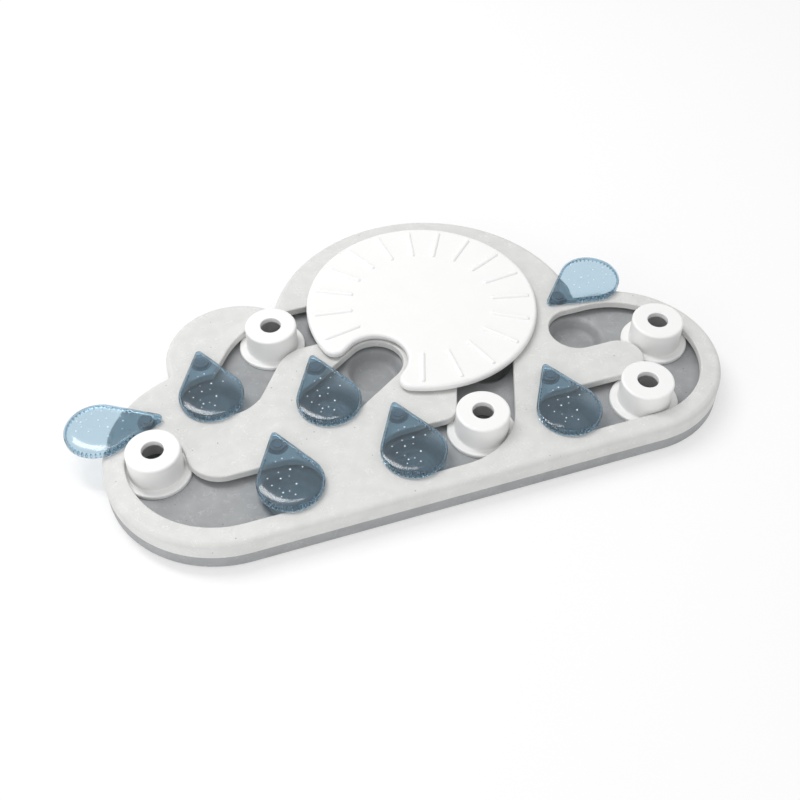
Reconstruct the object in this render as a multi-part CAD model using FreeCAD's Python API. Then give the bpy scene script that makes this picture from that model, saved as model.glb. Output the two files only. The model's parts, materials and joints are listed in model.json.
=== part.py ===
"""Cat puzzle feeder: a cloud-shaped tray with sliding pegs, swinging raindrops and a turning sun.

Millimetres, +X to the right along the straight front edge, +Y to the back, +Z up. The origin is
on the table under the middle of the feeder's box, measured with raindrop 2 swung out to the left.
"""
import FreeCAD, Part
import math
import os

V = FreeCAD.Vector
UP = V(0, 0, 1)
CUT_PAST = 1.0
OVERLAP = 0.5
TINY = 1e-6
FRONTWARD = -90.0

# Heights above the table
FOOT_BOTTOM = 0.0
BASE_BOTTOM = 0.8
SEAM = 9.4
SEAM_GAP = 0.1
DECK_TOP = 12.7
DECK_SKIN = 2.4
COVER_TOP = 20.3
COVER_SKIN = 4.5
COVER_UNDER = COVER_TOP - COVER_SKIN

# Cloud outline: four round lobes as (x, y, radius) over a straight front edge
LOBE_LEFT = (-111.5, -45.5, 66.8)
LOBE_TOP = (-85.7, 26.0, 42.8)
LOBE_SUN = (33.4, 15.5, 96.9)
LOBE_RIGHT = (134.0, -52.0, 60.3)
LOBES = (LOBE_LEFT, LOBE_TOP, LOBE_SUN, LOBE_RIGHT)
FRONT_Y = -112.3
CREASE_ROUND = 3.0

# Walls
SKIRT = 2.2
COVER_EDGE_ROUND = 3.5
BASE_WALL = 3.4
DECK_STEP = 2.6
DECK_WALL = 2.4
BASE_EDGE = 0.7

# Slots, tracks and treat wells; seven of the wells lie in a ring under the sun disc
SUN_X, SUN_Y = 33.4, 25.6
SUN_R = 72.1
SLOT_HALF = 16.9
SLOT_EDGE_ROUND = 1.0
TRACK_Y = -82.8
WELL_R = 17.0
WELL_FLOOR = 5.2
WELL_SLOPE_R = 12.9
WELL_ROUND = 4.0
WELL_SHOULDER = 4.0
CUP_SKIN = 2.0
CUP_TOP_R, CUP_BOTTOM_R = 19.3, 14.1
RING_R = 53.8
RING_HOLE_ANGLES = (342.4, 29.1, 75.7, 122.3)

LEFT_X = -148.8
RIGHT_FRONT_Y = -83.0
RIGHT_BACK_Y = -21.0
RIGHT_X = 165.0
LEFT_TRACK = [(LEFT_X, -42.2), (LEFT_X, TRACK_Y), (-81.5, TRACK_Y)]
LEFT_TRACK_R = (37.3,)
TOP_TRACK = [(-108.1, -5.2), (-95.0, -5.2), (-66.2, 34.2), (-20.0, 34.2)]
TOP_TRACK_R = (8.0, 41.4)
SLANT_TRACK = [(-44.2, -31.2), (-8.3, -8.2)]
SLANT_TRACK_R = ()
MIDDLE_TRACK = [(-9.9, TRACK_Y), (34.1, TRACK_Y), (56.9, -23.0)]
MIDDLE_TRACK_R = (27.0,)
RIGHT_TRACK = [(118.6, RIGHT_BACK_Y), (RIGHT_X, RIGHT_BACK_Y), (RIGHT_X, RIGHT_FRONT_Y),
               (85.4, RIGHT_FRONT_Y)]
RIGHT_TRACK_R = (31.0, 31.0)
TRACKS = (
    (LEFT_TRACK, LEFT_TRACK_R),
    (TOP_TRACK, TOP_TRACK_R),
    (SLANT_TRACK, SLANT_TRACK_R),
    (MIDDLE_TRACK, MIDDLE_TRACK_R),
    (RIGHT_TRACK, RIGHT_TRACK_R),
)

# Sun disc
SUN_BOTTOM = 21.4
SUN_TOP = 26.0
SUN_SKIN = 2.2
SUN_WALL = 3.0
SUN_TOP_ROUND = 2.2
SUN_BOTTOM_ROUND = 1.6
NOTCH_REACH = 55.4
NOTCH_ANGLE = 220.7
NOTCH_R = 19.2
NOTCH_FLARE = 3.0
NOTCH_LIP_ROUND = 7.5
RIB_ANGLES = (
    190.0, 171.0, 152.0, 134.0, 115.0, 96.0, 78.0, 61.0, 43.5, 24.0, 6.0, 347.0, 329.0, 310.0,
    290.0, 271.0, 251.0,
)
RIB_INNER_R = 43.5
RIB_OUTER_R = 68.2
RIB_R = 1.6
RIB_HEIGHT = 1.1
HUB_R = 10.0
HUB_BOTTOM = 20.5
SUN_AXLE_R = 7.0
SUN_AXLE_TOP = 24.2
SUN_AXLE_BOTTOM = 15.6
SUN_WASHER_R = 12.0
SUN_WASHER_T = 1.2
SUN_SCREW_R = 2.0
SUN_SCREW_HEAD_R = 4.2
SUN_SCREW_HEAD_T = 1.8
SUN_SCREW_END = 22.6
SCREW_HOLE_GAP = 0.2
HUB_POCKET_R = 13.5
HUB_POCKET_FLOOR = 9.0
RUNNING_GAP = 0.05

# Raindrops: pivot x, pivot y and the direction that the round end points to, in degrees
DROPS = (
    (-108.1, 21.4, 270.0),
    (-147.8, -13.6, 177.3),
    (-44.2, -3.9, 270.0),
    (-81.5, -55.5, 270.0),
    (-9.9, -55.5, 270.0),
    (85.4, -55.5, 270.0),
    (118.6, 6.4, 19.7),
)
DROP_R = 19.0
DROP_REACH = 27.5
DROP_TIP = 9.0
DROP_TIP_R = 2.2
DROP_BOTTOM = 20.8
DROP_CROWN = 26.0
DROP_CROWN_R = 266.0
DROP_TOP_ROUND = 1.6
DROP_BOTTOM_ROUND = 0.5
AXLE_R = 4.0
AXLE_TOP = 23.2
AXLE_BOTTOM = 13.7
AXLE_COLLAR_R = 5.6
AXLE_COLLAR_BOTTOM = 20.4
GROOVE_R = 3.0
CLIP_BOTTOM, CLIP_TOP = 14.7, 15.5
CLIP_R = 6.0
CLIP_MOUTH = 3.6

# Pegs: centre of the bend of track that each stands on, its radius and the peg's angle on it
TOP_BEND = (-45.2, -7.2)
LEFT_BEND = (-111.5, -45.5)
MIDDLE_BEND = (15.5, -55.8)
RIGHT_BEND = (134.0, -52.0)
PEGS = (
    (TOP_BEND, 41.4, 114.5),
    (LEFT_BEND, 37.3, 177.5),
    (MIDDLE_BEND, 27.0, -45.8),
    (RIGHT_BEND, 31.0, 21.5),
    (RIGHT_BEND, 31.6, -89.6),
)
PEG_R = 15.5
PEG_TOP = 31.6
PEG_BOTTOM = 12.9
PEG_FLANGE_R = 20.2
PEG_FLANGE_T = 2.2
PEG_FLANGE_ROUND = 1.0
PEG_FOOT_ROUND = 1.0
PEG_EDGE_ROUND = 1.4
PEG_BORE_R = 6.2
PEG_BORE_ROUND = 0.5
PEG_CAVITY_R = 12.8
PEG_SKIN = 3.3

# Screws from below, rubber feet
SCREWS = (
    (-135.0, 3.0), (-110.0, -45.0), (-82.0, 54.0), (-45.0, -84.0), (-72.0, -34.0), (9.0, -42.0),
    (88.0, -24.0), (118.0, -52.0), (20.4, 101.0), (110.5, 32.0), (-40.0, 60.0), (56.0, -93.0),
)
SLEEVE_R = 4.4
SLEEVE_BOTTOM = 1.6
SCREW_R = 1.5
SCREW_HOLE_R = 1.8
SCREW_HEAD_R = 3.0
SCREW_HEAD_HOLE_R = 3.4
SCREW_HEAD_BOTTOM, SCREW_HEAD_TOP = 5.0, 7.0
SCREW_END = 17.8
SCREW_CROSS_LONG, SCREW_CROSS_WIDE, SCREW_CROSS_DEEP = 1.1, 0.22, 0.5
BOSS_R = 3.6
FEET = (
    (-155.5, -71.0), (-45.0, -100.0), (152.0, -90.0), (166.0, -22.0),
    (79.2, 84.1), (-20.0, 75.0), (-114.0, 41.0),
)
FOOT_R = 6.0
FOOT_TOP = 2.4
FOOT_EDGE = 0.5
FOOT_PAD_R = 7.6
FOOT_PAD_BOTTOM = 1.6


def cylinder(x, y, r, z0, z1):
    """An upright cylinder between two heights."""
    return Part.makeCylinder(r, z1 - z0, V(x, y, z0), UP)


def fused(solids):
    """One solid from several, with the seams between flush faces taken out."""
    first = solids[0].fuse(solids[1:]) if len(solids) > 1 else solids[0]
    return first.removeSplitter()


def turned(profile, x, y):
    """A solid of revolution about the upright axis at x, y from a closed (r, z) profile wire."""
    solid = Part.Face(profile).revolve(V(0, 0, 0), UP, 360)
    solid.translate(V(x, y, 0))
    return solid


def line(a, b):
    """A straight edge between two vectors."""
    return Part.LineSegment(a, b).toShape()


def arc(a, middle, b):
    """A circular edge from a through middle to b."""
    return Part.Arc(a, middle, b).toShape()


def rounded_path(points, radii):
    """Straight runs through points, with a tangent arc of the given radius at each inner one."""
    edges = []
    start = points[0]
    for i, r in enumerate(radii, 1):
        corner = points[i]
        before, after = (points[i - 1] - corner).normalize(), (points[i + 1] - corner).normalize()
        half = before.getAngle(after) / 2
        a, b = corner + before * (r / math.tan(half)), corner + after * (r / math.tan(half))
        if start.distanceToPoint(a) > TINY:
            edges.append(line(start, a))
        if r > 0:
            edges.append(arc(a, corner + (before + after).normalize() * (r / math.sin(half) - r), b))
        start = b
    if start.distanceToPoint(points[-1]) > TINY:
        edges.append(line(start, points[-1]))
    return Part.Wire(edges)


def profile(points, radii):
    """A closed (r, z) profile whose first corner is sharp and whose other corners are rounded."""
    corners = [V(r, 0, z) for r, z in points]
    return rounded_path(corners + [corners[0]], radii)


def at(x, y, reach, degrees):
    """The point at a distance and angle from x, y."""
    a = math.radians(degrees)
    return x + reach * math.cos(a), y + reach * math.sin(a)


def placed(solid, place):
    """A piece modelled at the origin along +X, turned to a direction and moved to its spot."""
    x, y, degrees = place
    solid.rotate(V(0, 0, 0), UP, degrees)
    solid.translate(V(x, y, 0))
    return solid


def bearing(a, b):
    """The direction from one spot to another, in degrees."""
    return math.degrees(math.atan2(b[1] - a[1], b[0] - a[0]))


def circle_part(centre, r, z, start, end):
    """A circular edge that runs counter-clockwise between two directions."""
    return Part.makeCircle(r, V(centre[0], centre[1], z), UP, start, end + 360 * (end < start))


def crease(a, b):
    """Centre of the small round that fills the crease between two neighbouring lobes."""
    apart = math.dist(a[:2], b[:2])
    reach_a, reach_b = a[2] + CREASE_ROUND, b[2] + CREASE_ROUND
    along = (apart ** 2 + reach_a ** 2 - reach_b ** 2) / (2 * apart)
    return at(a[0], a[1], reach_a, bearing(a, b) + math.degrees(math.acos(along / reach_a)))


def cloud(inset, z0, z1):
    """The cloud outline with its creases rounded, drawn in evenly by inset, as an upright solid."""
    pairs = list(zip(LOBES, LOBES[1:]))
    creases = [crease(a, b) for a, b in pairs]
    edges = []
    for spot, (a, b) in zip(creases, pairs):
        edges.append(circle_part(spot, CREASE_ROUND + inset, z0, bearing(spot, a), bearing(spot, b)))
    starts = [bearing(lobe, spot) for lobe, spot in zip(LOBES, creases)] + [FRONTWARD]
    ends = [FRONTWARD] + [bearing(lobe, spot) for lobe, spot in zip(LOBES[1:], creases)]
    for lobe, start, end in zip(LOBES, starts, ends):
        edges.append(circle_part(lobe, lobe[2] - inset, z0, start, end))
    front = FRONT_Y + inset
    edges.append(line(V(LOBE_RIGHT[0], front, z0), V(LOBE_LEFT[0], front, z0)))
    outline = Part.Wire(Part.__sortEdges__(edges))
    return Part.Face(outline).extrude(UP * (z1 - z0))


def is_upright(edge):
    """True for a straight edge along Z."""
    a, b = edge.Vertexes[0].Point, edge.Vertexes[-1].Point
    return len(edge.Vertexes) == 2 and abs(a.x - b.x) + abs(a.y - b.y) < TINY


def edges_at(solid, z):
    """The edges of a solid that lie flat at height z."""
    return [e for e in solid.Edges if abs(e.BoundBox.ZMin - z) + abs(e.BoundBox.ZMax - z) < 1e-4]


def straight_outline(a, b):
    """The round-ended outline of a straight slot."""
    along = (b - a).normalize()
    side = V(-along.y, along.x, 0) * SLOT_HALF
    end = along * SLOT_HALF
    return Part.Wire([
        line(a + side, b + side), arc(b + side, b + end, b - side),
        line(b - side, a - side), arc(a - side, a - end, a + side),
    ])


def slot(points, radii, z0, z1):
    """The space of one slot: its track's path grown to the slot's width."""
    if radii:
        path = rounded_path([V(x, y, 0) for x, y in points], radii)
        outline = path.makeOffset2D(SLOT_HALF)
    else:
        outline = straight_outline(V(*points[0], 0), V(*points[1], 0))
    face = Part.Face(outline)
    face.translate(V(0, 0, z0))
    return face.extrude(UP * (z1 - z0))


def ring_holes():
    """Centres of the round holes with wells that lie under the sun disc."""
    return [at(SUN_X, SUN_Y, RING_R, a) for a in RING_HOLE_ANGLES]


def well_centres():
    """Centres of every treat well: both ends of every track, and the round holes."""
    return [p for points, _ in TRACKS for p in (points[0], points[-1])] + ring_holes()


def bowl(x, y):
    """The space of a treat well: soft shoulder, flared side and a round bend to a flat floor."""
    rim = WELL_R + WELL_SHOULDER
    outline = profile(
        [(0, DECK_TOP + CUT_PAST), (rim, DECK_TOP + CUT_PAST), (rim, DECK_TOP), (WELL_R, DECK_TOP),
         (WELL_SLOPE_R, WELL_FLOOR), (0, WELL_FLOOR)],
        [0, 0, WELL_SHOULDER, WELL_ROUND, 0],
    )
    return turned(outline, x, y)


def cup(x, y):
    """The outside of a treat well, under the deck."""
    bottom = WELL_FLOOR - CUP_SKIN
    outline = profile(
        [(0, DECK_TOP), (CUP_TOP_R, DECK_TOP), (CUP_BOTTOM_R, bottom), (0, bottom)],
        [0, WELL_ROUND + CUP_SKIN, 0],
    )
    return turned(outline, x, y)


def base_tray():
    """Lower shell: wall, raised deck with treat wells, screw sleeves and foot pads."""
    body = cloud(0.0, BASE_BOTTOM, SEAM)
    body = body.makeChamfer(BASE_EDGE, edges_at(body, BASE_BOTTOM))
    body = fused([body, cloud(DECK_STEP, SEAM - OVERLAP, DECK_TOP)])
    deck_under = DECK_TOP - DECK_SKIN
    body = body.cut([
        cloud(BASE_WALL, BASE_BOTTOM - CUT_PAST, SEAM - DECK_WALL),
        cloud(DECK_STEP + DECK_WALL, BASE_BOTTOM - CUT_PAST, deck_under),
    ])
    top = deck_under + OVERLAP
    added = [cup(x, y) for x, y in well_centres()]
    added += [cylinder(x, y, SLEEVE_R, SLEEVE_BOTTOM, top) for x, y in SCREWS]
    added += [cylinder(x, y, FOOT_PAD_R, FOOT_PAD_BOTTOM, top) for x, y in FEET]
    pocket_bottom = HUB_POCKET_FLOOR - CUP_SKIN
    added.append(cylinder(SUN_X, SUN_Y, HUB_POCKET_R + CUP_SKIN, pocket_bottom, top))
    body = fused([body] + added)
    taken = [bowl(x, y) for x, y in well_centres()]
    for x, y in SCREWS:
        taken.append(cylinder(x, y, SCREW_HEAD_HOLE_R, SLEEVE_BOTTOM - CUT_PAST, SCREW_HEAD_TOP))
        taken.append(cylinder(x, y, SCREW_HOLE_R, SCREW_HEAD_TOP - OVERLAP, DECK_TOP + CUT_PAST))
    taken += [cylinder(x, y, FOOT_R, FOOT_PAD_BOTTOM - CUT_PAST, FOOT_TOP) for x, y in FEET]
    taken.append(cylinder(SUN_X, SUN_Y, HUB_POCKET_R, HUB_POCKET_FLOOR, DECK_TOP + CUT_PAST))
    return body.cut(taken)


def openings():
    """The spaces cut through the cover's top: five slots and four round holes."""
    z0, z1 = COVER_UNDER - CUT_PAST, COVER_TOP + CUT_PAST
    cuts = [slot(points, radii, z0, z1) for points, radii in TRACKS]
    return cuts + [cylinder(x, y, SLOT_HALF, z0, z1) for x, y in ring_holes()]


def cloud_cover():
    """Upper shell: rounded edge, skirt, slots with soft edges, pivot bores and screw bosses."""
    body = cloud(0.0, SEAM + SEAM_GAP, COVER_TOP)
    body = body.makeFillet(COVER_EDGE_ROUND, edges_at(body, COVER_TOP))
    body = body.cut(cloud(SKIRT, SEAM, COVER_UNDER))
    body = body.cut(openings())
    top_face = max(body.Faces, key=lambda face: face.BoundBox.ZMin)
    rims = [w for w in top_face.Wires if not w.isSame(top_face.OuterWire)]
    body = body.makeFillet(SLOT_EDGE_ROUND, [e for w in rims for e in w.Edges])
    bosses = [cylinder(x, y, BOSS_R, DECK_TOP, COVER_UNDER + OVERLAP) for x, y in SCREWS]
    body = fused([body] + bosses)
    top = COVER_TOP + CUT_PAST
    holes = [cylinder(x, y, AXLE_R + RUNNING_GAP, SEAM, top) for x, y, _ in DROPS]
    holes += [cylinder(x, y, SCREW_R, SEAM, SCREW_END + OVERLAP) for x, y in SCREWS]
    holes.append(cylinder(SUN_X, SUN_Y, SUN_AXLE_R + RUNNING_GAP, SEAM, top))
    return body.cut(holes)


def notch(grow, z0, z1):
    """The sun's notch: a round end over the ring of wells, and sides that flare to the rim."""
    half = NOTCH_R + grow
    tilt = math.radians(NOTCH_FLARE)
    near_x, near_y = NOTCH_REACH - half * math.sin(tilt), half * math.cos(tilt)
    far_x = SUN_R + NOTCH_R
    far_y = near_y + (far_x - near_x) * math.tan(tilt)
    outline = Part.Wire([
        arc(V(near_x, near_y, z0), V(NOTCH_REACH - half, 0, z0), V(near_x, -near_y, z0)),
        line(V(near_x, -near_y, z0), V(far_x, -far_y, z0)),
        line(V(far_x, -far_y, z0), V(far_x, far_y, z0)),
        line(V(far_x, far_y, z0), V(near_x, near_y, z0)),
    ])
    solid = Part.Face(outline).extrude(UP * (z1 - z0))
    return placed(solid, (SUN_X, SUN_Y, NOTCH_ANGLE))


def sun_rib(degrees):
    """One raised radial rib: a round bar with round ends, sunk into the disc's top."""
    z = SUN_TOP + RIB_HEIGHT - RIB_R
    start, end = V(RIB_INNER_R + RIB_R, 0, z), V(RIB_OUTER_R - RIB_R, 0, z)
    bar = Part.makeCylinder(RIB_R, end.x - start.x, start, V(1, 0, 0))
    rib = fused([bar, Part.makeSphere(RIB_R, start), Part.makeSphere(RIB_R, end)])
    return placed(rib, (SUN_X, SUN_Y, degrees))


def sun_disc():
    """Turning disc: notch with round lips, raised ribs, hollow underside and a hub below."""
    disc = cylinder(SUN_X, SUN_Y, SUN_R, SUN_BOTTOM, SUN_TOP)
    disc = disc.cut(notch(0.0, SUN_BOTTOM - CUT_PAST, SUN_TOP + CUT_PAST))
    disc = disc.makeFillet(NOTCH_LIP_ROUND, [e for e in disc.Edges if is_lip(e)])
    disc = disc.makeFillet(SUN_TOP_ROUND, edges_at(disc, SUN_TOP))
    disc = disc.makeFillet(SUN_BOTTOM_ROUND, edges_at(disc, SUN_BOTTOM))
    disc = fused([disc] + [sun_rib(a) for a in RIB_ANGLES])
    below = SUN_BOTTOM - CUT_PAST
    hollow = cylinder(SUN_X, SUN_Y, SUN_R - SUN_WALL, below, SUN_TOP - SUN_SKIN)
    hollow = hollow.cut([
        cylinder(SUN_X, SUN_Y, HUB_R, below, SUN_TOP),
        notch(SUN_WALL + NOTCH_LIP_ROUND / 2, below - CUT_PAST, SUN_TOP),
    ])
    disc = disc.cut(hollow)
    disc = fused([disc, cylinder(SUN_X, SUN_Y, HUB_R, HUB_BOTTOM, SUN_BOTTOM + CUT_PAST)])
    return disc.cut(cylinder(SUN_X, SUN_Y, SUN_AXLE_R, HUB_BOTTOM - CUT_PAST, SUN_AXLE_TOP))


def is_lip(edge):
    """True for an upright edge of the sun where its notch meets its rim."""
    p = edge.Vertexes[0].Point
    return is_upright(edge) and math.hypot(p.x - SUN_X, p.y - SUN_Y) > SUN_R - OVERLAP


def sun_axle():
    """Spindle pressed into the sun's hub, which runs in the cover."""
    pin = cylinder(SUN_X, SUN_Y, SUN_AXLE_R, SUN_AXLE_BOTTOM, SUN_AXLE_TOP)
    bore_bottom, bore_top = SUN_AXLE_BOTTOM - CUT_PAST, SUN_SCREW_END + OVERLAP
    return pin.cut(cylinder(SUN_X, SUN_Y, SUN_SCREW_R, bore_bottom, bore_top))


def sun_washer():
    """Washer under the cover that keeps the sun down."""
    z0 = SUN_AXLE_BOTTOM - SUN_WASHER_T
    ring = cylinder(SUN_X, SUN_Y, SUN_WASHER_R, z0, SUN_AXLE_BOTTOM)
    hole = cylinder(SUN_X, SUN_Y, SUN_SCREW_R + SCREW_HOLE_GAP, z0 - CUT_PAST, SUN_AXLE_TOP)
    return ring.cut(hole)


def screw(x, y, r, head_r, head_bottom, head_top, end):
    """A pan-head screw, head down, with a cross recess in its head."""
    body = fused([cylinder(x, y, head_r, head_bottom, head_top), cylinder(x, y, r, head_top, end)])
    width, length = head_r * SCREW_CROSS_WIDE, head_r * SCREW_CROSS_LONG
    depth = (head_top - head_bottom) * SCREW_CROSS_DEEP
    bars = [
        Part.makeBox(length, width, depth, V(x - length / 2, y - width / 2, head_bottom)),
        Part.makeBox(width, length, depth, V(x - width / 2, y - length / 2, head_bottom)),
    ]
    return body.cut(bars)


def sun_screw():
    """Screw that holds the sun's washer against its axle."""
    head_top = SUN_AXLE_BOTTOM - SUN_WASHER_T
    return screw(SUN_X, SUN_Y, SUN_SCREW_R, SUN_SCREW_HEAD_R, head_top - SUN_SCREW_HEAD_T, head_top,
                 SUN_SCREW_END)


def drop_outline(z):
    """The drop's teardrop outline about its pivot, round end towards +X."""
    spread = math.acos((DROP_R - DROP_TIP_R) / (DROP_REACH + DROP_TIP - DROP_TIP_R))
    tip_x = -(DROP_TIP - DROP_TIP_R)

    def point(x, r, angle):
        return V(x + r * math.cos(angle), r * math.sin(angle), z)
    a, b = point(DROP_REACH, DROP_R, math.pi - spread), point(tip_x, DROP_TIP_R, math.pi - spread)
    c, d = point(tip_x, DROP_TIP_R, spread - math.pi), point(DROP_REACH, DROP_R, spread - math.pi)
    return Part.Wire([
        line(a, b), arc(b, V(tip_x - DROP_TIP_R, 0, z), c), line(c, d),
        arc(d, V(DROP_REACH + DROP_R, 0, z), a),
    ])


def raindrop(drop):
    """Clear drop: a thick teardrop with a gently domed top, soft edges and a blind pivot bore."""
    blank = Part.Face(drop_outline(DROP_BOTTOM)).extrude(UP * (DROP_CROWN - DROP_BOTTOM))
    middle = V(DROP_REACH, 0, DROP_CROWN - DROP_CROWN_R)
    dome = Part.makeSphere(DROP_CROWN_R, middle, V(1, 0, 0))
    dome.rotate(middle, V(1, 0, 0), 180)
    blank = blank.common(dome)
    top = [e for e in blank.Edges if e.BoundBox.ZMin > DROP_BOTTOM + DROP_TOP_ROUND]
    blank = blank.makeFillet(DROP_TOP_ROUND, top)
    blank = blank.makeFillet(DROP_BOTTOM_ROUND, edges_at(blank, DROP_BOTTOM))
    return placed(blank.cut(cylinder(0, 0, AXLE_R, DROP_BOTTOM - CUT_PAST, AXLE_TOP)), drop)


def drop_axle(drop):
    """Pin pressed into a drop: a collar above the cover and a clip groove below it."""
    pin = fused([
        cylinder(0, 0, AXLE_R, CLIP_TOP, AXLE_TOP),
        cylinder(0, 0, AXLE_COLLAR_R, AXLE_COLLAR_BOTTOM, DROP_BOTTOM),
        cylinder(0, 0, GROOVE_R, CLIP_BOTTOM, CLIP_TOP),
        cylinder(0, 0, AXLE_R, AXLE_BOTTOM, CLIP_BOTTOM),
    ])
    return placed(pin, drop)


def drop_clip(drop):
    """Spring clip in the pin's groove: a flat ring with a mouth."""
    ring = cylinder(0, 0, CLIP_R, CLIP_BOTTOM, CLIP_TOP)
    low, tall = CLIP_BOTTOM - CUT_PAST, CLIP_TOP - CLIP_BOTTOM + 2 * CUT_PAST
    mouth = Part.makeBox(CLIP_R + CUT_PAST, CLIP_MOUTH, tall, V(0, -CLIP_MOUTH / 2, low))
    ring = ring.cut([cylinder(0, 0, GROOVE_R, low, low + tall), mouth])
    return placed(ring, drop)


def peg(place):
    """Hollow white peg: wide foot under the cover, soft edges and a round hole in its top."""
    (bend_x, bend_y), reach, degrees = place
    x, y = at(bend_x, bend_y, reach, degrees)
    foot_top, ceiling = PEG_BOTTOM + PEG_FLANGE_T, PEG_TOP - PEG_SKIN
    outline = profile(
        [(PEG_CAVITY_R, PEG_BOTTOM), (PEG_FLANGE_R, PEG_BOTTOM), (PEG_FLANGE_R, foot_top),
         (PEG_R, foot_top), (PEG_R, PEG_TOP), (PEG_BORE_R, PEG_TOP), (PEG_BORE_R, ceiling),
         (PEG_CAVITY_R, ceiling)],
        [0, PEG_FLANGE_ROUND, PEG_FOOT_ROUND, PEG_EDGE_ROUND, PEG_BORE_ROUND, 0, 0],
    )
    return turned(outline, x, y)


def case_screws():
    """The screws that hold the base to the cover."""
    return Part.makeCompound([
        screw(x, y, SCREW_R, SCREW_HEAD_R, SCREW_HEAD_BOTTOM, SCREW_HEAD_TOP, SCREW_END)
        for x, y in SCREWS
    ])


def rubber_feet():
    """Round rubber feet, each set in its pad."""
    feet = []
    for x, y in FEET:
        foot = cylinder(x, y, FOOT_R, FOOT_BOTTOM, FOOT_TOP)
        feet.append(foot.makeChamfer(FOOT_EDGE, edges_at(foot, FOOT_BOTTOM)))
    return Part.makeCompound(feet)


def main():
    """Builds every sub-part and writes one file for each."""
    os.makedirs("parts", exist_ok=True)
    parts = {
        "base_tray": base_tray(),
        "cloud_cover": cloud_cover(),
        "case_screws": case_screws(),
        "rubber_feet": rubber_feet(),
        "sun_disc": sun_disc(),
        "sun_axle": sun_axle(),
        "sun_washer": sun_washer(),
        "sun_screw": sun_screw(),
    }
    for i, drop in enumerate(DROPS, 1):
        parts["raindrop_%d" % i] = raindrop(drop)
        parts["drop_axle_%d" % i] = drop_axle(drop)
        parts["drop_clip_%d" % i] = drop_clip(drop)
    for i, place in enumerate(PEGS, 1):
        parts["peg_%d" % i] = peg(place)
    for name, shape in parts.items():
        print(name, "valid" if shape.isValid() else "NOT VALID", len(shape.Solids), "solid(s)",
              round(shape.Volume / 1000, 2), "cm3")
        shape.exportStep("parts/%s.step" % name)


main()
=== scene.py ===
"""Cat puzzle feeder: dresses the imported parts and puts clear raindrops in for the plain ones.

Sizes in the classes are in millimetres, in the frame's own axes: +X to the right along the
straight front edge, +Y to the back and +Z up from the table.
"""
from __future__ import annotations

import json
import logging
import math
from dataclasses import dataclass
from enum import Enum
from typing import Callable, Sequence

import bpy
from mathutils import Matrix, Vector

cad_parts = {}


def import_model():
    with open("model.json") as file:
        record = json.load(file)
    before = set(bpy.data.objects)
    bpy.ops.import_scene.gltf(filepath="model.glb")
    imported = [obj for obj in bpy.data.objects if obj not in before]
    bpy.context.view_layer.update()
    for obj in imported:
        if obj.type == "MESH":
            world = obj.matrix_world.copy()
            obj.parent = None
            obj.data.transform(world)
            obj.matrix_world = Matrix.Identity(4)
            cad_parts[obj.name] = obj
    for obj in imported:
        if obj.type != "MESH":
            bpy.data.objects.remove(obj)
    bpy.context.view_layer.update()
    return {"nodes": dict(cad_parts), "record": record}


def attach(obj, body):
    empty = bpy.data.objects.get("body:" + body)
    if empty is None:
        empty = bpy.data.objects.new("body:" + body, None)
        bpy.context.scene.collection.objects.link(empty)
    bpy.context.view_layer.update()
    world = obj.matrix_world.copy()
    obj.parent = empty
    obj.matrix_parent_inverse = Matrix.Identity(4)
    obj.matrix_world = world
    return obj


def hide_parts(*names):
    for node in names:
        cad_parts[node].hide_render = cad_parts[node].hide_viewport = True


LOG = logging.getLogger("feeder")
MM = 0.001
CAP_FACING = 0.9
CAP_SLACK = 0.004
SMOOTH_ANGLE = 40.0
DOWN = Vector((0.0, 0.0, -1.0))
PLAIN_WHITE = (1.0, 1.0, 1.0, 1.0)
HALF_A_BOUNCE = 0.5
Colour = tuple[float, float, float]
Point = tuple[float, float, float]
Span = tuple[float, float]


class Side(Enum):
    """Which end of a blank a shaping step works on."""

    TOP = 1.0
    UNDER = -1.0


class Grip(Enum):
    """What is picked in edit mode."""

    EDGE = "EDGE"
    FACE = "FACE"


class Maths(Enum):
    """What a maths node does with its two values."""

    ABSOLUTE = "ABSOLUTE"
    LESS_THAN = "LESS_THAN"
    MAXIMUM = "MAXIMUM"
    MULTIPLY = "MULTIPLY"
    SUBTRACT = "SUBTRACT"


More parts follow.
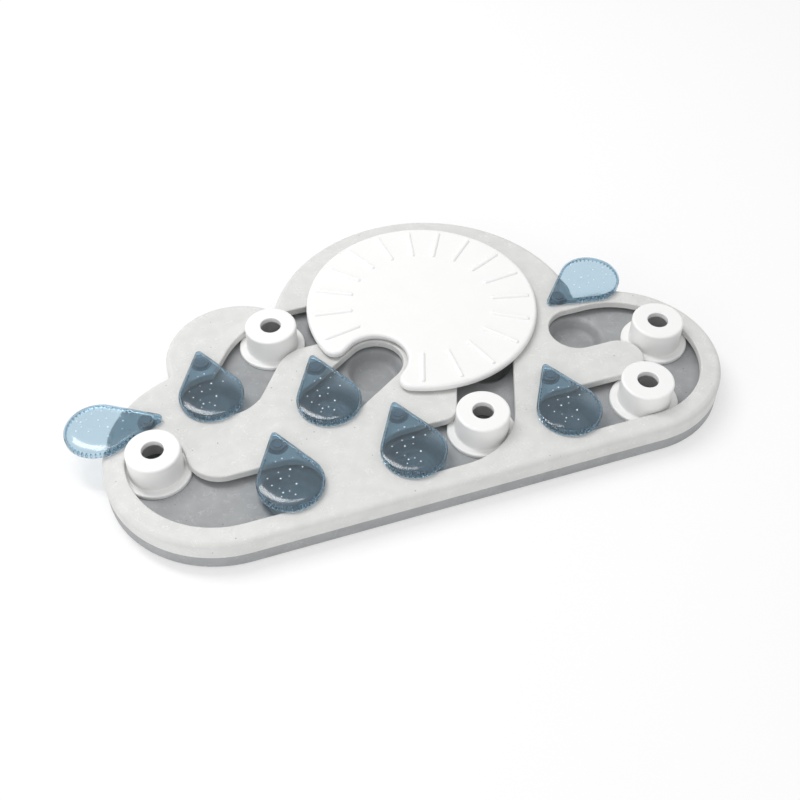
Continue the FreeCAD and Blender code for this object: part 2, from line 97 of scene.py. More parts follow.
class Bench:
    """Modelling steps that every sub-assembly shares."""

    @staticmethod
    def clear() -> None:
        """Leaves nothing selected, outside edit mode."""
        if bpy.context.object and bpy.context.object.mode != "OBJECT":
            bpy.ops.object.mode_set(mode="OBJECT")
        bpy.ops.object.select_all(action="DESELECT")

    @staticmethod
    def take(piece: bpy.types.Object) -> None:
        """Makes one piece the only selected and the active one.

        Args:
            piece: The piece.
        """
        Bench.clear()
        piece.select_set(True)
        bpy.context.view_layer.objects.active = piece

    @staticmethod
    def settle() -> bpy.types.Object:
        """Applies the active piece's place to its mesh and returns the piece."""
        bpy.ops.object.transform_apply(location=True, rotation=True, scale=True)
        return bpy.context.object

    @staticmethod
    def drum(radius: float, low: float, high: float, sides: int) -> bpy.types.Object:
        """Adds an upright drum on the Z axis, as a blank to shape.

        Args:
            radius: Its radius, in mm.
            low: Height of its bottom.
            high: Height of its top.
            sides: How many faces go round it.

        Returns:
            The new object.
        """
        Bench.clear()
        bpy.ops.mesh.primitive_cylinder_add(
            vertices=sides, radius=radius * MM, depth=(high - low) * MM,
            location=(0.0, 0.0, (low + high) / 2 * MM))
        return Bench.settle()

    @staticmethod
    def ring(radius: float, height: float, sides: int, x: float) -> bpy.types.Object:
        """Adds a flat ring of edges centred on the X axis, as part of a skin's profile.

        Args:
            radius: Its radius, in mm.
            height: Its height.
            sides: How many edges go round it.
            x: Its centre along X.

        Returns:
            The new object.
        """
        Bench.clear()
        bpy.ops.mesh.primitive_circle_add(
            vertices=sides, radius=radius * MM, location=(x * MM, 0.0, height * MM))
        return Bench.settle()

    @staticmethod
    def let_go(piece: bpy.types.Object, grip: Grip) -> None:
        """Leaves nothing picked on a piece, outside edit mode.

        Args:
            piece: The piece to edit.
            grip: What is going to be picked.
        """
        Bench.take(piece)
        bpy.ops.object.mode_set(mode="EDIT")
        bpy.ops.mesh.select_mode(type=grip.value)
        bpy.ops.mesh.select_all(action="DESELECT")
        bpy.ops.object.mode_set(mode="OBJECT")

    @staticmethod
    def pick_edges(piece: bpy.types.Object, wanted: Callable[[Vector, Vector], bool]) -> None:
        """Enters edit mode on a piece with only the wanted edges selected.

        Args:
            piece: The piece to edit.
            wanted: Says of an edge's two ends whether it is selected.
        """
        Bench.let_go(piece, Grip.EDGE)
        points = piece.data.vertices
        for edge in piece.data.edges:
            a, b = (points[i].co for i in edge.vertices)
            edge.select = wanted(a, b)
        bpy.ops.object.mode_set(mode="EDIT")

    @staticmethod
    def pick(piece: bpy.types.Object, wanted: Callable[[bpy.types.MeshPolygon], bool]) -> None:
        """Enters edit mode on a piece with only the wanted faces selected.

        Args:
            piece: The piece to edit.
            wanted: Says of a face whether it is selected.
        """
        Bench.let_go(piece, Grip.FACE)
        for face in piece.data.polygons:
            face.select = wanted(face)
        bpy.ops.object.mode_set(mode="EDIT")

    @staticmethod
    def pick_cap(piece: bpy.types.Object, side: Side, level: float) -> None:
        """Enters edit mode with the flat faces of one end selected.

        Args:
            piece: The piece to edit.
            side: Which way the faces look.
            level: Their height, in mm.
        """
        Bench.pick(piece, lambda f: f.normal.z * side.value > CAP_FACING
                   and abs(f.center.z / MM - level) < CAP_SLACK)

    @staticmethod
    def step(scale: float, rise: float) -> None:
        """Extrudes the picked cap, scales it about the Z axis and lifts it.

        Args:
            scale: Its new size over its old one.
            rise: How far it goes up, in mm.
        """
        bpy.ops.mesh.extrude_region_move(
            TRANSFORM_OT_translate={"value": (0.0, 0.0, rise * MM)})
        if scale != 1.0:
            bpy.ops.transform.resize(value=(scale, scale, 1.0), center_override=(0.0, 0.0, 0.0))

    @staticmethod
    def turn_and_place(piece: bpy.types.Object, x: float, y: float, degrees: float) -> None:
        """Turns a piece modelled along +X, moves it to its spot and applies that to its mesh.

        Args:
            piece: The piece.
            x: Where its pivot goes along X, in mm.
            y: Where its pivot goes along Y.
            degrees: How far it turns, seen from above against the clock.
        """
        Bench.take(piece)
        piece.matrix_world = (Matrix.Translation((x * MM, y * MM, 0.0))
                              @ Matrix.Rotation(math.radians(degrees), 4, "Z"))
        Bench.settle()

    @staticmethod
    def finish(piece: bpy.types.Object, name: str, finish: bpy.types.Material) -> None:
        """Names, shades and dresses a finished piece.

        Args:
            piece: The piece.
            name: Its new name.
            finish: Its material.
        """
        Bench.take(piece)
        bpy.ops.object.shade_smooth_by_angle(angle=math.radians(SMOOTH_ANGLE))
        piece.name = piece.data.name = name
        Bench.dress(piece, finish)

    @staticmethod
    def dress(piece: bpy.types.Object, finish: bpy.types.Material) -> None:
        """Makes a finish the only material of a piece."""
        piece.data.materials.clear()
        piece.data.materials.append(finish)

    @staticmethod
    def copy(piece: bpy.types.Object) -> bpy.types.Object:
        """Copies a piece.

        Args:
            piece: The piece.

        Returns:
            The copy, with its own mesh.
        """
        twin = piece.copy()
        twin.data = piece.data.copy()
        bpy.context.collection.objects.link(twin)
        return twin

    @staticmethod
    def cut(piece: bpy.types.Object, tool: bpy.types.Object) -> None:
        """Cuts one closed mesh out of another.

        Args:
            piece: The piece that keeps the rest.
            tool: The shape to cut out, which is thrown away.
        """
        Bench.take(piece)
        cutter = piece.modifiers.new("cut", "BOOLEAN")
        cutter.object = tool
        cutter.operation = "DIFFERENCE"
        cutter.solver = "FAST"
        bpy.ops.object.modifier_apply(modifier=cutter.name)
        bpy.data.objects.remove(tool)

    @staticmethod
    def join(parts: Sequence[bpy.types.Object]) -> bpy.types.Object:
        """Joins several meshes.

        Args:
            parts: The pieces.

        Returns:
            The first of them, with the rest in its mesh.
        """
        Bench.clear()
        for part in parts:
            part.select_set(True)
        bpy.context.view_layer.objects.active = parts[0]
        bpy.ops.object.join()
        return parts[0]


def reckon(tree: bpy.types.NodeTree, kind: Maths, a: bpy.types.NodeSocket,
           b: bpy.types.NodeSocket | float = 0.0) -> bpy.types.NodeSocket:
    """Adds a maths node.

    Args:
        tree: The nodes that it joins.
        kind: What it does.
        a: Its first value.
        b: Its second value.

    Returns:
        The socket with the result.
    """
    node = tree.nodes.new("ShaderNodeMath")
    node.operation = kind.value
    tree.links.new(a, node.inputs[0])
    if isinstance(b, (int, float)):
        node.inputs[1].default_value = b
    else:
        tree.links.new(b, node.inputs[1])
    return node.outputs["Value"]


class Recipe:
    """One material's nodes, laid out by short calls.

    Its values shape the patterns: the span where most of a cloud's values lie, the height that
    threads follow and how much they swirl, the smallest speck over the largest, the soft edge of
    a speck, and that of the lot which chooses the cells with a speck.
    """

    middle: Span = (0.3, 0.7)
    thread_height: float = 0.5
    thread_swirl: float = 1.6
    speck_smallest: float = 0.45
    speck_edge: float = 0.06
    lot_edge: float = 0.01

    def __init__(self, name: str) -> None:
        """Starts a material with its principled shader.

        Args:
            name: The material's name.
        """
        self.material = bpy.data.materials.new(name)
        self.material.use_nodes = True
        self.tree = self.material.node_tree
        self.nodes = self.tree.nodes
        self.links = self.tree.links
        self.shader = self.nodes["Principled BSDF"]
        self.place = self.nodes.new("ShaderNodeTexCoord").outputs["Object"]

    def set(self, **values: object) -> None:
        """Sets sockets of the shader; an underscore in a name stands for a space."""
        for name, value in values.items():
            self.shader.inputs[name.replace("_", " ")].default_value = value

    def noise(self, size: float, detail: float = 3.0) -> bpy.types.NodeSocket:
        """Soft cloudy variation.

        Args:
            size: The size of its patches, in mm.
            detail: How much finer structure it has.

        Returns:
            The socket with a value from 0 to 1.
        """
        node = self.nodes.new("ShaderNodeTexNoise")
        node.inputs["Scale"].default_value = 1.0 / (size * MM)
        node.inputs["Detail"].default_value = detail
        self.links.new(self.place, node.inputs["Vector"])
        return node.outputs["Fac"]

    def ramp(self, value: bpy.types.NodeSocket, low: float, high: float,
             to_low: float = 0.0, to_high: float = 1.0) -> bpy.types.NodeSocket:
        """Maps a span of a value to another span, held at its ends.

        Args:
            value: The socket with the value.
            low: Where the span starts.
            high: Where it ends.
            to_low: What its start becomes.
            to_high: What its end becomes.

        Returns:
            The socket with the new value.
        """
        node = self.nodes.new("ShaderNodeMapRange")
        for name, number in (("From Min", low), ("From Max", high), ("To Min", to_low),
                             ("To Max", to_high)):
            node.inputs[name].default_value = number
        self.links.new(value, node.inputs["Value"])
        return node.outputs["Result"]

    def vary(self, size: float, low: float = 0.0, high: float = 1.0) -> bpy.types.NodeSocket:
        """Cloudy variation between two values, with patches of a size in mm."""
        return self.ramp(self.noise(size), *self.middle, low, high)

    def threads(self, size: float, width: float) -> bpy.types.NodeSocket:
        """Thin crumpled lines.

        Args:
            size: The size of their bends, in mm.
            width: Their width, as a share of the pattern's height.

        Returns:
            The socket that is 1 on a line and 0 elsewhere.
        """
        node = self.noise(size, detail=1.0).node
        node.inputs["Distortion"].default_value = self.thread_swirl
        off = reckon(self.tree, Maths.SUBTRACT, node.outputs["Fac"], self.thread_height)
        return self.ramp(reckon(self.tree, Maths.ABSOLUTE, off), 0.0, width, 1.0, 0.0)

    def specks(self, spacing: float, share: float, radius: float) -> bpy.types.NodeSocket:
        """Scattered specks of uneven size.

        Args:
            spacing: The mean distance between cells that may hold a speck, in mm.
            share: The part of the cells that hold one.
            radius: A speck's radius over the spacing.

        Returns:
            The socket that is 1 on a speck and 0 elsewhere.
        """
        cells = self.nodes.new("ShaderNodeTexVoronoi")
        cells.inputs["Scale"].default_value = 1.0 / (spacing * MM)
        self.links.new(self.place, cells.inputs["Vector"])
        lot = self.nodes.new("ShaderNodeSeparateColor")
        self.links.new(cells.outputs["Color"], lot.inputs["Color"])
        chosen = self.ramp(lot.outputs["Red"], 1.0 - share, 1.0 - share + self.lot_edge)
        reach = self.ramp(lot.outputs["Green"], 0.0, 1.0, radius * self.speck_smallest, radius)
        inside = reckon(self.tree, Maths.SUBTRACT, reach, cells.outputs["Distance"])
        return reckon(self.tree, Maths.MULTIPLY, chosen, self.ramp(inside, 0.0, self.speck_edge))

    def mix(self, share: bpy.types.NodeSocket, a: Colour | bpy.types.NodeSocket,
            b: Colour) -> bpy.types.NodeSocket:
        """Blends from one colour to another.

        Args:
            share: 0 for the first colour, 1 for the second.
            a: The first colour, or a socket that gives it.
            b: The second colour.

        Returns:
            The colour socket.
        """
        node = self.nodes.new("ShaderNodeMix")
        node.data_type = "RGBA"
        self.links.new(share, node.inputs["Factor"])
        first, second = (s for s in node.inputs if s.type == "RGBA")
        if isinstance(a, tuple):
            first.default_value = (*a, 1.0)
        else:
            self.links.new(a, first)
        second.default_value = (*b, 1.0)
        return next(s for s in node.outputs if s.type == "RGBA")

    def bump(self, height: bpy.types.NodeSocket, strength: float, depth: float) -> None:
        """Raises the surface by a height pattern.

        Args:
            height: The pattern, from 0 to 1.
            strength: How much of it shows.
            depth: Its full height, in mm.
        """
        node = self.nodes.new("ShaderNodeBump")
        node.inputs["Strength"].default_value = strength
        node.inputs["Distance"].default_value = depth * MM
        self.links.new(height, node.inputs["Height"])
        self.links.new(node.outputs["Normal"], self.shader.inputs["Normal"])

    def drive(self, name: str, value: bpy.types.NodeSocket) -> None:
        """Feeds one socket of the shader."""
        self.links.new(value, self.shader.inputs[name])


@dataclass(frozen=True)
class SpeckledPlastic:
    """Moulded plastic with recycled-looking specks and a fine matt skin.

    Each set of specks is given as the spacing of its cells in mm, the share of them that hold
    a speck, and a speck's radius over the spacing.
    """

    name: str
    body: Colour
    cloud: Colour
    dark: Colour
    light: Colour
    cloud_size: float = 9.0
    cloud_detail: float = 4.0
    cloud_span: Span = (0.35, 0.65)
    patch_size: float = 6.0
    patch_span: Span = (0.45, 0.6)
    thread_size: float = 3.2
    thread_width: float = 0.035
    soft_specks: tuple[float, float, float] = (2.6, 0.10, 0.20)
    dark_specks: tuple[float, float, float] = (4.5, 0.35, 0.13)
    roughness: float = 0.55
    roughness_spread: float = 0.06
    sheen_size: float = 2.0
    grain_size: float = 0.7
    grain_strength: float = 0.25
    grain_depth: float = 0.06

    def build(self) -> bpy.types.Material:
        """Lays out the nodes.

        Returns:
            The material.
        """
        r = Recipe(self.name)
        clouds = r.ramp(r.noise(self.cloud_size, self.cloud_detail), *self.cloud_span)
        base = r.mix(clouds, self.body, self.cloud)
        patches = r.ramp(r.noise(self.patch_size, detail=1.0), *self.patch_span)
        threads = r.threads(self.thread_size, self.thread_width)
        pale = r.mix(reckon(r.tree, Maths.MULTIPLY, threads, patches), base, self.light)
        flecked = r.mix(r.specks(*self.soft_specks), pale, self.cloud)
        r.drive("Base Color", r.mix(r.specks(*self.dark_specks), flecked, self.dark))
        r.drive("Roughness", r.vary(self.sheen_size, self.roughness - self.roughness_spread,
                                    self.roughness + self.roughness_spread))
        r.bump(r.noise(self.grain_size, self.cloud_detail), self.grain_strength,
               self.grain_depth)
        return r.material


@dataclass(frozen=True)
class SmoothPlastic:
    """Opaque moulded plastic with a soft sheen and faint flow marks."""

    name: str
    body: Colour
    cloud: Colour
    roughness: float
    grain_strength: float
    cloud_size: float = 14.0
    sheen_size: float = 3.0
    roughness_spread: float = 0.05
    grain_size: float = 1.1
    grain_depth: float = 0.05

    def build(self) -> bpy.types.Material:
        """Lays out the nodes.

        Returns:
            The material.
        """
        r = Recipe(self.name)
        r.drive("Base Color", r.mix(r.vary(self.cloud_size), self.body, self.cloud))
        r.drive("Roughness", r.vary(self.sheen_size, self.roughness - self.roughness_spread,
                                    self.roughness + self.roughness_spread))
        r.bump(r.noise(self.grain_size), self.grain_strength, self.grain_depth)
        return r.material


@dataclass(frozen=True)
class ClearPlastic:
    """Tinted clear plastic with a polished skin."""

    name: str
    tint: Colour
    haze: float
    clearest: float = 0.7
    refraction: float = 1.46
    haze_size: float = 6.0
    wave_size: float = 14.0
    wave_strength: float = 0.05
    wave_depth: float = 0.05

    def build(self) -> bpy.types.Material:
        """Lays out the nodes.

        Returns:
            The material.
        """
        r = Recipe(self.name)
        r.set(Base_Color=(*self.tint, 1.0), Transmission_Weight=1.0, IOR=self.refraction)
        r.drive("Roughness", r.vary(self.haze_size, self.haze * self.clearest, self.haze))
        r.bump(r.noise(self.wave_size, detail=0.0), self.wave_strength, self.wave_depth)
        return r.material


@dataclass(frozen=True)
class Metal:
    """Plated steel."""

    name: str
    body: Colour
    shade: float = 0.8
    shade_size: float = 1.5
    sheen_size: float = 0.8
    roughness_span: Span = (0.25, 0.45)

    def build(self) -> bpy.types.Material:
        """Lays out the nodes.

        Returns:
            The material.
        """
        r = Recipe(self.name)
        r.set(Metallic=1.0)
        darker = tuple(c * self.shade for c in self.body)
        r.drive("Base Color", r.mix(r.noise(self.shade_size), self.body, darker))
        r.drive("Roughness", r.vary(self.sheen_size, *self.roughness_span))
        return r.material


COVER = SpeckledPlastic("cover_grey", (0.71, 0.71, 0.695), (0.665, 0.665, 0.65),
                        (0.36, 0.36, 0.35), (0.80, 0.80, 0.785))
BASE = SpeckledPlastic("base_grey", (0.36, 0.37, 0.38), (0.32, 0.33, 0.34),
                       (0.19, 0.20, 0.21), (0.46, 0.47, 0.48))
WHITE = SmoothPlastic("white_plastic", (0.91, 0.91, 0.90), (0.895, 0.895, 0.89), 0.38, 0.12)
PIN = SmoothPlastic("axle_plastic", (0.30, 0.31, 0.33), (0.34, 0.35, 0.37), 0.35, 0.05)
FLECK = SmoothPlastic("fleck_white", (0.84, 0.94, 1.0), (0.80, 0.91, 0.98), 0.30, 0.02)
RUBBER = SmoothPlastic("foot_rubber", (0.10, 0.10, 0.10), (0.13, 0.13, 0.13), 0.80, 0.30)
STEEL = Metal("screw_steel", (0.60, 0.60, 0.61))
CLEAR = ClearPlastic("clear_blue", (0.48, 0.64, 0.745), 0.16)
FINISHES = (COVER, BASE, WHITE, PIN, RUBBER, STEEL, CLEAR, FLECK)


@dataclass
class Raindrops:
    """The clear drops, each with its ribbed rim, flecks and pin.

    One drop is modelled about its pivot with its round end towards +X, and copied to every
    pivot. Its wall stands upright, turns over a tight edge and rises along a wide shoulder to a
    flat crown, alike on every side. It is a hollow shell, open below, with short ribs up the
    inside of its wall.

    Each pivot is given as its place and the heading of the drop's round end, in degrees against
    the clock from +X. Tilts are in degrees from level. The lower edge is given as distance in
    from the rim and height above the underside, each fleck as its place and radius, and each
    step of the pin as a scale and a rise.

    Faces within flat_angle degrees of each other are one flat face. Edges of over long_edge
    times the rim's own are the flanks', and are cut up as finely as the rim. A face is upright
    where its normal rises by less than upright_rise.
    """

    finishes: dict[str, bpy.types.Material]
    pivots: tuple[Point, ...] = (
        (-108.1, 21.4, 270.0), (-147.8, -13.6, 177.3), (-44.2, -3.9, 270.0),
        (-81.5, -55.5, 270.0), (-9.9, -55.5, 270.0), (85.4, -55.5, 270.0), (118.6, 6.4, 19.7))
    radius: float = 19.0
    reach: float = 27.5
    tip_x: float = -6.8
    tip_radius: float = 2.2
    ridge_radius: float = 1.0
    under: float = 20.8
    crown: float = 26.0
    edge_radius: float = 1.3
    edge_tilts: tuple[float, ...] = (90, 80, 70, 60, 50, 40, 30, 18)
    shoulder_radius: float = 26.0
    shoulder_tilts: tuple[float, ...] = (16, 14, 12, 10, 8, 6, 4, 2, 0)
    rim_sides: int = 128
    tip_sides: int = 32
    flat_angle: float = 0.1
    long_edge: float = 4.0
    flank_length: float = 30.0
    lower_edge: tuple[Span, ...] = ((0.4, 0.0), (0.2, 0.055), (0.055, 0.2), (0.0, 0.4))
    flat_margin: float = 0.3
    wall: float = 1.0
    hollow_overshoot: float = 1.0
    hollow_top: float = 23.6
    hollow_round: float = 0.6
    hollow_tilts: tuple[float, ...] = (90, 75, 60, 45, 30, 15, 0)
    upright_rise: float = 0.01
    rib_start: float = 8.0
    rib_depth: float = 1.2
    rib_gap: float = 0.12
    rib_every: int = 3
    fleck_height: float = 0.5
    fleck_rounds: int = 1
    look_from: float = 5.0
    flecks: tuple[Point, ...] = (
        (12.6, -0.7, 0.6), (21.4, -5.1, 0.4), (21.4, 1.6, 0.65), (25.8, -0.1, 0.35),
        (26.0, -5.0, 0.55), (32.3, -7.3, 0.35), (32.2, 2.2, 0.6), (35.8, -2.6, 0.4),
        (35.7, -6.2, 0.55), (39.0, -0.2, 0.5), (37.9, -7.7, 0.4), (13.8, 5.2, 0.4),
        (21.9, 8.5, 0.5), (13.6, -4.6, 0.45), (23.7, -11.8, 0.4), (29.1, -10.7, 0.45))
    pin_radius: float = 4.0
    pin_foot: float = 14.6
    pin_top: float = 20.4
    pin_sides: int = 48
    pin_steps: tuple[Span, ...] = (
        (1.39, 0.0), (1.0, 0.25), (0.72, 0.0), (1.0, 1.65), (0.86, 0.3), (0.8, 0.0), (0.95, 0.6))
    pin_bevel: float = 0.3
    pin_bevel_rows: int = 2

    def levels(self) -> list[Span]:
        """Works out the outer skin's profile.

        Returns:
            Distances in from the rim with their heights, from the underside up.
        """
        found = [(inset, self.under + rise) for inset, rise in self.lower_edge]
        turn = math.radians(self.edge_tilts[-1])
        shoulder_rise = self.shoulder_radius * (1.0 - math.cos(turn))
        wall_top = self.crown - shoulder_rise - self.edge_radius * math.cos(turn)
        for tilt in map(math.radians, self.edge_tilts):
            found.append((self.edge_radius * (1.0 - math.sin(tilt)),
                          wall_top + self.edge_radius * math.cos(tilt)))
        inset = found[-1][0]
        for tilt in map(math.radians, self.shoulder_tilts):
            found.append((inset + self.shoulder_radius * (math.sin(turn) - math.sin(tilt)),
                          self.crown - self.shoulder_radius * (1.0 - math.cos(tilt))))
        return found

    def hollow_levels(self) -> list[Span]:
        """Works out the hollow's profile, from below the underside up to its flat ceiling.

        Returns:
            Distances in from the rim with their heights.
        """
        spring = self.hollow_top - self.hollow_round
        found = [(self.wall, self.under - self.hollow_overshoot)]
        for tilt in map(math.radians, self.hollow_tilts):
            found.append((self.wall + self.hollow_round * (1.0 - math.sin(tilt)),
                          spring + self.hollow_round * math.cos(tilt)))
        return found

    def skin(self, levels: Sequence[Span]) -> bpy.types.Object:
        """Draws one closed skin over rings stacked up a profile at both ends of the drop.

        Its long straight edges are divided, so that its shading runs evenly along the flanks.

        Args:
            levels: The profile, as (distance in from the rim, height).

        Returns:
            The new object, in edit mode.
        """
        slope = (self.radius - self.tip_radius) / (self.reach - self.tip_x)
        rings = []
        for inset, height in levels:
            tip = max(self.tip_radius - inset, self.ridge_radius)
            tip_x = self.tip_x + (tip - self.tip_radius + inset) / slope
            rings.append(Bench.ring(self.radius - inset, height, self.rim_sides, self.reach))
            rings.append(Bench.ring(tip, height, self.tip_sides, tip_x))
        skin = Bench.join(rings)
        bpy.ops.object.mode_set(mode="EDIT")
        bpy.ops.mesh.select_all(action="SELECT")
        bpy.ops.mesh.convex_hull()
        bpy.ops.mesh.select_all(action="SELECT")
        bpy.ops.mesh.dissolve_limited(angle_limit=math.radians(self.flat_angle))
        pitch = 2 * math.pi * self.radius / self.rim_sides
        Bench.pick_edges(skin, lambda a, b: (a - b).length > self.long_edge * pitch * MM)
        bpy.ops.mesh.subdivide(number_cuts=round(self.flank_length / pitch))
        Bench.pick_cap(skin, Side.TOP, levels[-1][1])
        bpy.ops.mesh.inset(thickness=self.flat_margin * MM)
        return skin

    def build_lens(self) -> bpy.types.Object:
        """Builds the teardrop shell: its outer skin with the ribbed hollow cut out of it.

        Returns:
            The new object.
        """
        lens = self.skin(self.levels())
        Bench.pick_cap(lens, Side.UNDER, self.under)
        bpy.ops.mesh.inset(thickness=self.flat_margin * MM)
        hollow = self.skin(self.hollow_levels())
        bpy.ops.object.mode_set(mode="OBJECT")
        wall = [f for f in hollow.data.polygons
                if abs(f.normal.z) < self.upright_rise and f.center.x > self.rib_start * MM]
        wall.sort(key=lambda f: math.atan2(f.center.y, f.center.x - self.reach * MM))
        chosen = {f.index for f in wall[::self.rib_every]}
        Bench.pick(hollow, lambda f: f.index in chosen)
        bpy.ops.mesh.inset(thickness=self.rib_gap * MM, depth=-self.rib_depth * MM,
                           use_individual=True)
        Bench.cut(lens, hollow)
        return lens

    def build_flecks(self, lens: bpy.types.Object) -> bpy.types.Object:
        """Builds the small white flecks in the skin.

        Args:
            lens: The shell that they lie in.

        Returns:
            All of them as one object.
        """
        Bench.clear()
        bpy.context.view_layer.update()
        specks = []
        for x, y, size in self.flecks:
            above = Vector((x, y, self.crown + self.look_from)) * MM
            _, spot, _, _ = lens.ray_cast(above, DOWN)
            Bench.clear()
            bpy.ops.mesh.primitive_ico_sphere_add(
                subdivisions=self.fleck_rounds, radius=size * MM, location=spot)
            bpy.ops.transform.resize(value=(1.0, 1.0, self.fleck_height))
            specks.append(Bench.settle())
        return Bench.join(specks)

    def build_pin(self) -> bpy.types.Object:
        """Builds the stepped pin, with its collar above the cover.

        Returns:
            The new object.
        """
        pin = Bench.drum(self.pin_radius, self.pin_foot, self.pin_top, self.pin_sides)
        Bench.pick_cap(pin, Side.TOP, self.pin_top)
        for scale, rise in self.pin_steps:
            Bench.step(scale, rise)
        Bench.pick_cap(pin, Side.UNDER, self.pin_foot)
        bpy.ops.mesh.bevel(offset=self.pin_bevel * MM, segments=self.pin_bevel_rows)
        return pin

    def set_drop(self, number: int, pattern: dict[str, bpy.types.Object]) -> None:
        """Copies the pattern's pieces to one pivot and attaches them.

        Args:
            number: The drop's number, from 1.
            pattern: The modelled lens, flecks and pin.
        """
        x, y, heading = self.pivots[number - 1]
        body = f"drop_{number}"
        made = (
            ("lens", "clear_blue", f"raindrop_{number}", "clear_blue"),
            ("flecks", "fleck_white", None, "clear_blue"),
            ("pin", "axle_plastic", f"drop_axle_{number}", "axle_plastic"),
        )
        for part, finish, node, slot in made:
            piece = Bench.copy(pattern[part])
            Bench.turn_and_place(piece, x, y, heading)
            Bench.finish(piece, f"drop_{number}_{part}", self.finishes[finish])
            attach(piece, body)
            if node:
                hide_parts(node)
        LOG.info("raindrop %d: lens, flecks and pin", number)

    def build(self) -> None:
        """Models the pieces of one drop and sets copies of them at every pivot."""
        lens = self.build_lens()
        pattern = {"lens": lens, "flecks": self.build_flecks(lens), "pin": self.build_pin()}
        Bench.clear()
        for number in range(1, len(self.pivots) + 1):
            self.set_drop(number, pattern)
        for piece in pattern.values():
            bpy.data.objects.remove(piece)


@dataclass
class PackedParts:
    """The parts that keep their CAD shapes: shells, disc, pegs, feet and hidden hardware."""

    nodes: dict[str, bpy.types.Object]
    finishes: dict[str, bpy.types.Material]
    subparts: Sequence[dict[str, str]]

    def build(self) -> None:
        """Gives every CAD node the finish of its record slot."""
        for entry in self.subparts:
            Bench.dress(self.nodes[entry["node"]], self.finishes[entry["material_slot"]])
        LOG.info("packed parts: %d nodes dressed", len(self.subparts))


@dataclass(frozen=True)
class Strip:
    """A long soft lamp that points at the origin.

    Its start and end are the middles of its short sides.
    """

    name: str
    start: Point
    end: Point
    width: float
    watts: float

    def build(self) -> None:
        """Adds the lamp."""
        along = Vector(self.end) - Vector(self.start)
        middle = (Vector(self.end) + Vector(self.start)) / 2
        back = middle.normalized()
        across = back.cross(along).normalized()
        data = bpy.data.lights.new(self.name, "AREA")
        data.shape = "RECTANGLE"
        data.size = along.length * MM
        data.size_y = self.width * MM
        data.energy = self.watts
        lamp = bpy.data.objects.new(self.name, data)
        bpy.context.scene.collection.objects.link(lamp)
        axes = Matrix((across.cross(back), across, back)).transposed().to_4x4()
        lamp.matrix_world = Matrix.Translation(middle * MM) @ axes


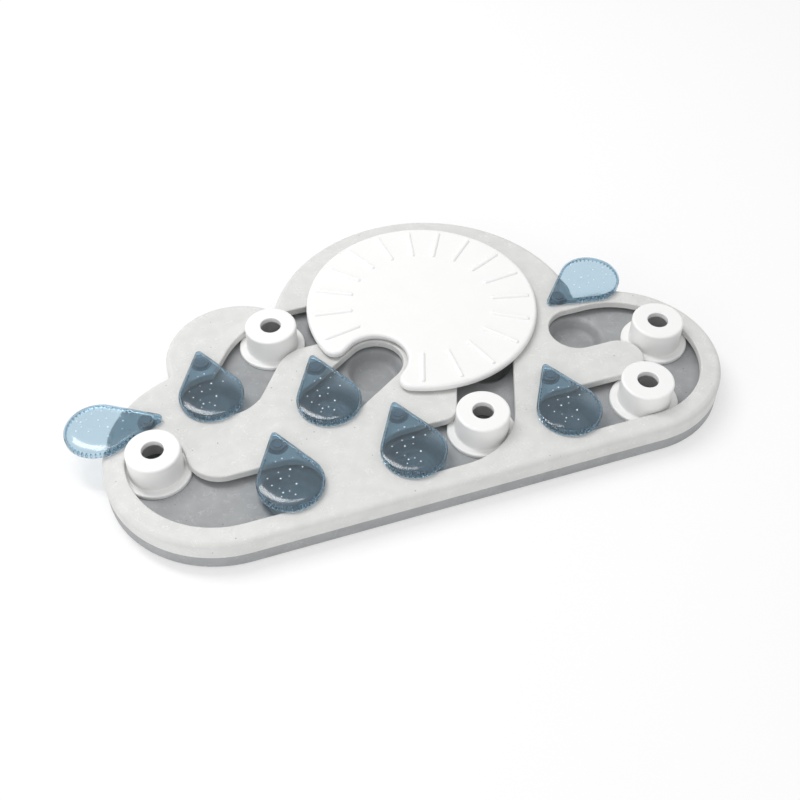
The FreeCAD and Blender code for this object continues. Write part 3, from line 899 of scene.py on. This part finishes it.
@dataclass
class Studio:
    """Floor, overhead strips, front fill and sky."""

    floor_size: float = 6000.0
    floor_colour: Colour = (0.98, 0.98, 0.98)
    floor_white: float = 0.5
    sky_strength: float = 0.62
    lamps: tuple[Strip, ...] = (
        Strip("overhead_left", (-570.0, 700.0, 960.0), (-150.0, 240.0, 1240.0), 220.0, 6.0),
        Strip("overhead_right", (-150.0, 220.0, 1243.0), (171.0, 191.0, 1218.0), 100.0, 1.0),
        Strip("front_fill", (-1200.0, -300.0, 450.0), (-500.0, -1100.0, 450.0), 600.0, 2.8))

    @staticmethod
    def white_share(tree: bpy.types.NodeTree, to_camera: float) -> bpy.types.NodeSocket:
        """How much plain white a ray sees: all of it in reflections and through plastic.

        A ray that has left a matt surface sees none of it, so the white lights nothing.

        Args:
            tree: The nodes of the floor or the sky.
            to_camera: The share that the camera sees.

        Returns:
            The socket with the share.
        """
        path = tree.nodes.new("ShaderNodeLightPath")
        share = reckon(tree, Maths.MULTIPLY, path.outputs["Is Camera Ray"], to_camera)
        for ray in ("Is Glossy Ray", "Is Transmission Ray"):
            share = reckon(tree, Maths.MAXIMUM, share, path.outputs[ray])
        unlit = reckon(tree, Maths.LESS_THAN, path.outputs["Diffuse Depth"], HALF_A_BOUNCE)
        return reckon(tree, Maths.MULTIPLY, share, unlit)

    def build_floor(self) -> None:
        """Adds a white floor that keeps the feeder's shadow."""
        Bench.clear()
        bpy.ops.mesh.primitive_plane_add(size=self.floor_size * MM, location=(0, 0, 0))
        floor = bpy.context.object
        floor.name = "studio_floor"
        r = Recipe("floor_white")
        r.set(Base_Color=(*self.floor_colour, 1.0), Roughness=1.0, Specular_IOR_Level=0.0)
        glow = r.nodes.new("ShaderNodeEmission")
        blend = r.nodes.new("ShaderNodeMixShader")
        r.links.new(self.white_share(r.tree, self.floor_white), blend.inputs["Fac"])
        r.links.new(r.shader.outputs["BSDF"], blend.inputs[1])
        r.links.new(glow.outputs["Emission"], blend.inputs[2])
        r.links.new(blend.outputs["Shader"], r.nodes["Material Output"].inputs["Surface"])
        floor.data.materials.append(r.material)

    def build_sky(self) -> None:
        """Makes an even sky, plain white to the camera, in reflections and through plastic."""
        world = bpy.data.worlds.new("studio_sky")
        bpy.context.scene.world = world
        world.use_nodes = True
        nodes = world.node_tree.nodes
        links = world.node_tree.links
        sky = nodes["Background"]
        sky.inputs["Color"].default_value = PLAIN_WHITE
        sky.inputs["Strength"].default_value = self.sky_strength
        white = nodes.new("ShaderNodeBackground")
        white.inputs["Color"].default_value = PLAIN_WHITE
        blend = nodes.new("ShaderNodeMixShader")
        links.new(self.white_share(world.node_tree, 1.0), blend.inputs["Fac"])
        links.new(sky.outputs["Background"], blend.inputs[1])
        links.new(white.outputs["Background"], blend.inputs[2])
        links.new(blend.outputs["Shader"], nodes["World Output"].inputs["Surface"])

    def build(self) -> None:
        """Sets up the floor, the sky and the lamps."""
        self.build_floor()
        self.build_sky()
        for lamp in self.lamps:
            lamp.build()
        LOG.info("studio: floor, sky and %d lamps", len(self.lamps))


@dataclass
class PhotoCamera:
    """The camera that took the photograph, as fitted to it."""

    at: Point = (-154.93, -471.29, 522.3)
    down: float = 47.875
    heading: float = 19.35
    roll: float = 0.475
    focal_px: float = 1157.89
    image_px: float = 800.0
    sensor: float = 36.0
    nearest: float = 10.0
    farthest: float = 50000.0

    def build(self) -> None:
        """Makes the camera and sets it as the scene's."""
        data = bpy.data.cameras.new("photo_camera")
        data.sensor_width = self.sensor
        data.lens = self.focal_px / self.image_px * self.sensor
        data.clip_start = self.nearest * MM
        data.clip_end = self.farthest * MM
        camera = bpy.data.objects.new("photo_camera", data)
        bpy.context.scene.collection.objects.link(camera)
        camera.matrix_world = (
            Matrix.Translation([c * MM for c in self.at])
            @ Matrix.Rotation(math.radians(-self.heading), 4, "Z")
            @ Matrix.Rotation(math.radians(90.0 - self.down), 4, "X")
            @ Matrix.Rotation(math.radians(self.roll), 4, "Z"))
        bpy.context.scene.camera = camera
        LOG.info("camera: lens %.1f mm", data.lens)


def main() -> None:
    """Builds the whole feeder over the frame."""
    logging.basicConfig(level=logging.INFO, format="%(name)s: %(message)s")
    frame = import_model()
    bpy.context.scene.view_settings.view_transform = "Standard"
    finishes = {f.name: f.build() for f in FINISHES}
    PackedParts(frame["nodes"], finishes, frame["record"]["subparts"]).build()
    Raindrops(finishes).build()
    Studio().build()
    PhotoCamera().build()


if __name__ == "__main__":
    main()
